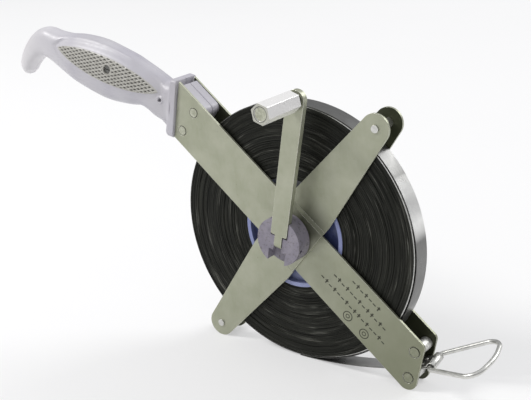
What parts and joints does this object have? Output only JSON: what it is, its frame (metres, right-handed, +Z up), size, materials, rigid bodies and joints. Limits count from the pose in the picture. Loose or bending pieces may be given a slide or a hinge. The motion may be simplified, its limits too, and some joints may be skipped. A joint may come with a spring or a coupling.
{
  "type": "surveyor tape reel",
  "caption": "Open-frame surveyor's tape reel: steel tape wound on a crank drum between two crossed plate sides, with a moulded pistol handle and a wire end ring.",
  "frame": {"origin": "middle of the base of the whole reel's box, on the surface that it stands on", "axes": "+X along the reel from its handle towards its end ring, +Y along the spindle away from the crank, +Z up"},
  "size_m": [0.2992, 0.0612, 0.1597],
  "materials": {
    "zinc_plate": "olive grey chromated zinc plate, satin, with bright worn edges",
    "bright_zinc": "bright zinc plate, satin",
    "zinc_rivet": "chromated zinc plate, flush riveted",
    "dark_screw": "dull plated steel",
    "bush_plastic": "natural acetal",
    "bush_brass": "turned brass",
    "handle_plastic": "pale lavender grey moulded plastic, glossy, with a dimpled grip panel",
    "hub_plastic": "lavender grey moulded plastic, slightly soiled",
    "drum_plastic": "dark blue moulded plastic",
    "tape_wound": "dark blued steel tape edges, finely lined",
    "tape_bright": "bright worn steel tape",
    "knob_washer_steel": "dull steel",
    "knob_aluminium": "polished six-sided bar"
  },
  "bodies": {
    "frame": {"front_main_bar": "zinc_plate", "back_main_bar": "zinc_plate", "front_cross_arm": "zinc_plate", "back_cross_arm": "zinc_plate", "front_bush": "bush_plastic", "rear_bush": "bush_brass", "upper_tip_rod": "bright_zinc", "lower_tip_rod": "bright_zinc", "upper_tip_sleeve": "bright_zinc", "lower_tip_sleeve": "bright_zinc", "upper_guide_pin": "zinc_rivet", "lower_guide_pin": "zinc_rivet", "handle_front_shell": "handle_plastic", "handle_back_shell": "handle_plastic", "handle_rivets": "zinc_rivet", "handle_screw": "dark_screw", "handle_nut": "dark_screw", "tape_tail": "tape_bright", "tape_end_loop": "bright_zinc", "end_loop_rivets": "bright_zinc"},
    "drum": {"drum": "drum_plastic", "spindle": "bright_zinc", "thrust_washer": "bush_plastic", "drive_key": "bright_zinc", "tape_anchor": "tape_wound", "anchor_pin": "bright_zinc", "tape_pack": "tape_wound", "tape_outer_turn": "tape_bright", "crank_hub": "hub_plastic", "fold_pin": "bright_zinc"},
    "crank": {"crank_arm": "zinc_plate", "knob_pin": "bright_zinc", "knob_washer": "knob_washer_steel"},
    "knob": {"crank_knob": "knob_aluminium"},
    "upper_roller": {"upper_guide_roller": "bright_zinc"},
    "lower_roller": {"lower_guide_roller": "bright_zinc"},
    "ring": {"end_ring": "bright_zinc"}
  },
  "joints": [
    {"name": "drum_spin", "type": "hinge", "parent": "frame", "child": "drum", "pos_m": [0.04148, 0.0148, 0.06831], "axis": [0, 1, 0], "continuous": true},
    {"name": "crank_fold", "type": "hinge", "parent": "drum", "child": "crank", "pos_m": [0.04126, -0.00101, 0.06714], "axis": [0.9826, 0, -0.1857], "range_deg": [0, 180]},
    {"name": "knob_spin", "type": "hinge", "parent": "crank", "child": "knob", "pos_m": [0.0553, -0.0182, 0.14142], "axis": [0, 1, 0], "continuous": true},
    {"name": "upper_roller_spin", "type": "hinge", "parent": "frame", "child": "upper_roller", "pos_m": [0.11058, 0.0148, 0.0213], "axis": [0, 1, 0], "continuous": true},
    {"name": "lower_roller_spin", "type": "hinge", "parent": "frame", "child": "lower_roller", "pos_m": [0.1071, 0.0148, 0.00663], "axis": [0, 1, 0], "continuous": true},
    {"name": "ring_swing", "type": "hinge", "parent": "frame", "child": "ring", "pos_m": [0.11798, 0.0148, 0.01531], "axis": [-0.0489, 0.989, 0.1395], "range_deg": [-60, 44]}
  ]
}
